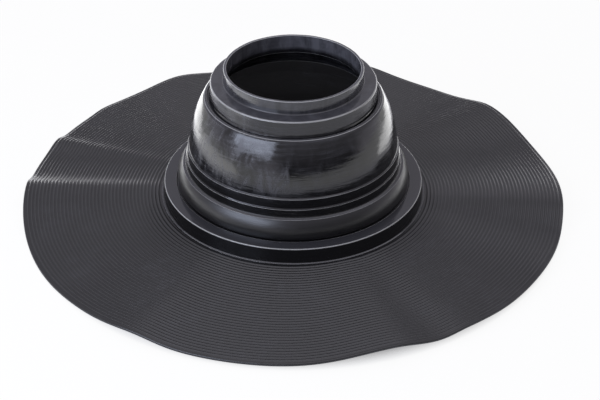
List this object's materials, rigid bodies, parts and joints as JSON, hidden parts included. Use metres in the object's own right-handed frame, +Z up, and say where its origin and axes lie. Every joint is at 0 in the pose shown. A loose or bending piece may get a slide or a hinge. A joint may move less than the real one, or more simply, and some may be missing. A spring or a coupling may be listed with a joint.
{
  "type": "pipe flashing boot",
  "caption": "Round EPDM roof flashing boot: ribbed skirt, base ring, stepped dome and a thin stretch-fit neck that seals round a vent pipe.",
  "frame": {"origin": "on the pipe's axis, at the level of the lowest wave of the skirt", "axes": "+Z up along the pipe; the boot is round, so +X and +Y only fix where the skirt's waves lie"},
  "size_m": [0.42, 0.42, 0.1205],
  "materials": {
    "epdm": "semi-gloss moulded black rubber"
  },
  "bodies": {
    "root": {"flashing_boot": "epdm"}
  },
  "joints": []
}
